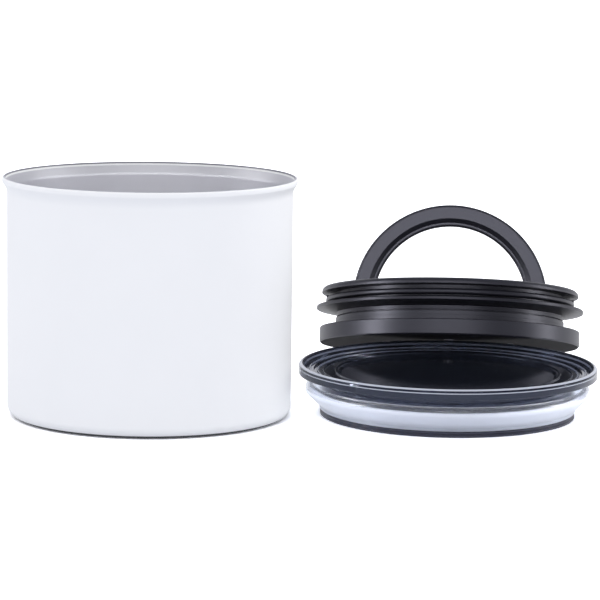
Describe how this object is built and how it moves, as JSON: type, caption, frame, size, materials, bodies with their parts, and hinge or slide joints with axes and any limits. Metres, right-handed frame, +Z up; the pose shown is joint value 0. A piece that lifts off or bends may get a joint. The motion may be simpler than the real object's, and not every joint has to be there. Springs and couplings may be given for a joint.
{
  "type": "food canister with valve lid",
  "caption": "Round steel canister with a press-down inner valve lid, folding ring handle and clear outer cover, shown open side by side.",
  "frame": {"origin": "centre of the canister's flat base, on the surface that it stands on", "axes": "+Z up along the canister, +X from the canister to the outer cover, +Y to the rear, where the inner lid leans"},
  "size_m": [0.2706, 0.2397, 0.1072],
  "materials": {
    "powder_white": "matt white powder coat outside, bare brushed steel inside",
    "smoke_clear": "clear, smoke tinted, polished",
    "translucent_silicone": "translucent, satin",
    "black_elastomer": "satin black",
    "black_plastic": "satin black moulding, fine eroded texture",
    "bush_plastic": "dark grey low-friction plastic",
    "stainless": "turned or drawn stainless steel"
  },
  "bodies": {
    "canister": {"canister_body": "powder_white"},
    "cover": {"cover_cap": "smoke_clear", "cover_seal": "translucent_silicone", "cover_base_ring": "black_elastomer"},
    "inner_lid": {"lid_base": "black_plastic", "lid_neck_ring": "black_plastic", "lower_wiper_seal": "black_elastomer", "seal_spacer": "black_plastic", "upper_wiper_seal": "black_elastomer", "lid_top_plate": "black_plastic", "lid_screws": "stainless", "pivot_bush_left": "bush_plastic", "pivot_bush_right": "bush_plastic", "valve_seat": "stainless", "valve_guide": "bush_plastic", "valve_spring": "stainless", "valve_screen": "stainless"},
    "handle": {"handle": "black_plastic", "handle_pins": "stainless", "cam_shaft": "stainless", "valve_cam": "bush_plastic", "cam_pin": "stainless"},
    "valve": {"valve_stem": "stainless", "valve_disc": "black_plastic", "valve_gasket": "black_elastomer", "valve_clip": "stainless"}
  },
  "joints": [
    {"name": "cover_lift", "type": "slide", "parent": "canister", "child": "cover", "axis": [0, 0, 1], "range_m": [0, 0.125]},
    {"name": "inner_lid_lift", "type": "slide", "parent": "cover", "child": "inner_lid", "axis": [0, 0, 1], "range_m": [0, 0.125]},
    {"name": "handle_fold", "type": "hinge", "parent": "inner_lid", "child": "handle", "pos_m": [0.14013, 0.11201, 0.03571], "axis": [-0.9985, 0.0541, 0], "range_deg": [0, 90], "deforming": ["valve_spring"]},
    {"name": "valve_slide", "type": "slide", "parent": "inner_lid", "child": "valve", "axis": [0.0131, 0.2416, 0.9703], "range_m": [0, 0.002]}
  ],
  "couplings": [
    {"joint": "valve_slide", "follows": "handle_fold", "m_per_rad": 0.0012732}
  ]
}
